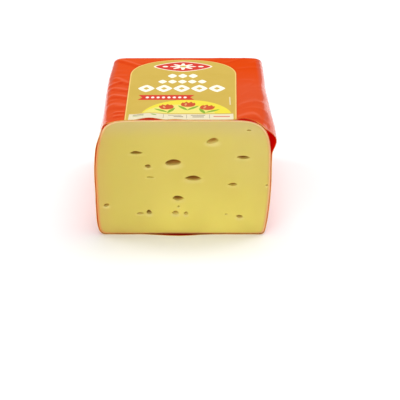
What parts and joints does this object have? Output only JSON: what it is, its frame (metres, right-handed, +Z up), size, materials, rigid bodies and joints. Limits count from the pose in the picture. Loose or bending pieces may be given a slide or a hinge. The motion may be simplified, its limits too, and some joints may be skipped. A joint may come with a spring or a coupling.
{
  "type": "cheese block in film",
  "caption": "Cut block of yellow cheese with small eyes in its cut face, in a red film wrap with an arched gold label on the top.",
  "frame": {"origin": "centre of the base, on the surface that the block rests on", "axes": "+Z up, -Y out of the cut face towards the viewer, +X to the viewer's right"},
  "size_m": [0.149, 0.1791, 0.1055],
  "materials": {
    "cheese": "moist smooth pale yellow paste, slightly translucent",
    "red_film": "glossy orange-red shrink film",
    "gold_label": "satin gold print with pale edge line"
  },
  "bodies": {
    "root": {"cheese": "cheese", "film_wrap": "red_film", "label": "gold_label"}
  },
  "joints": []
}
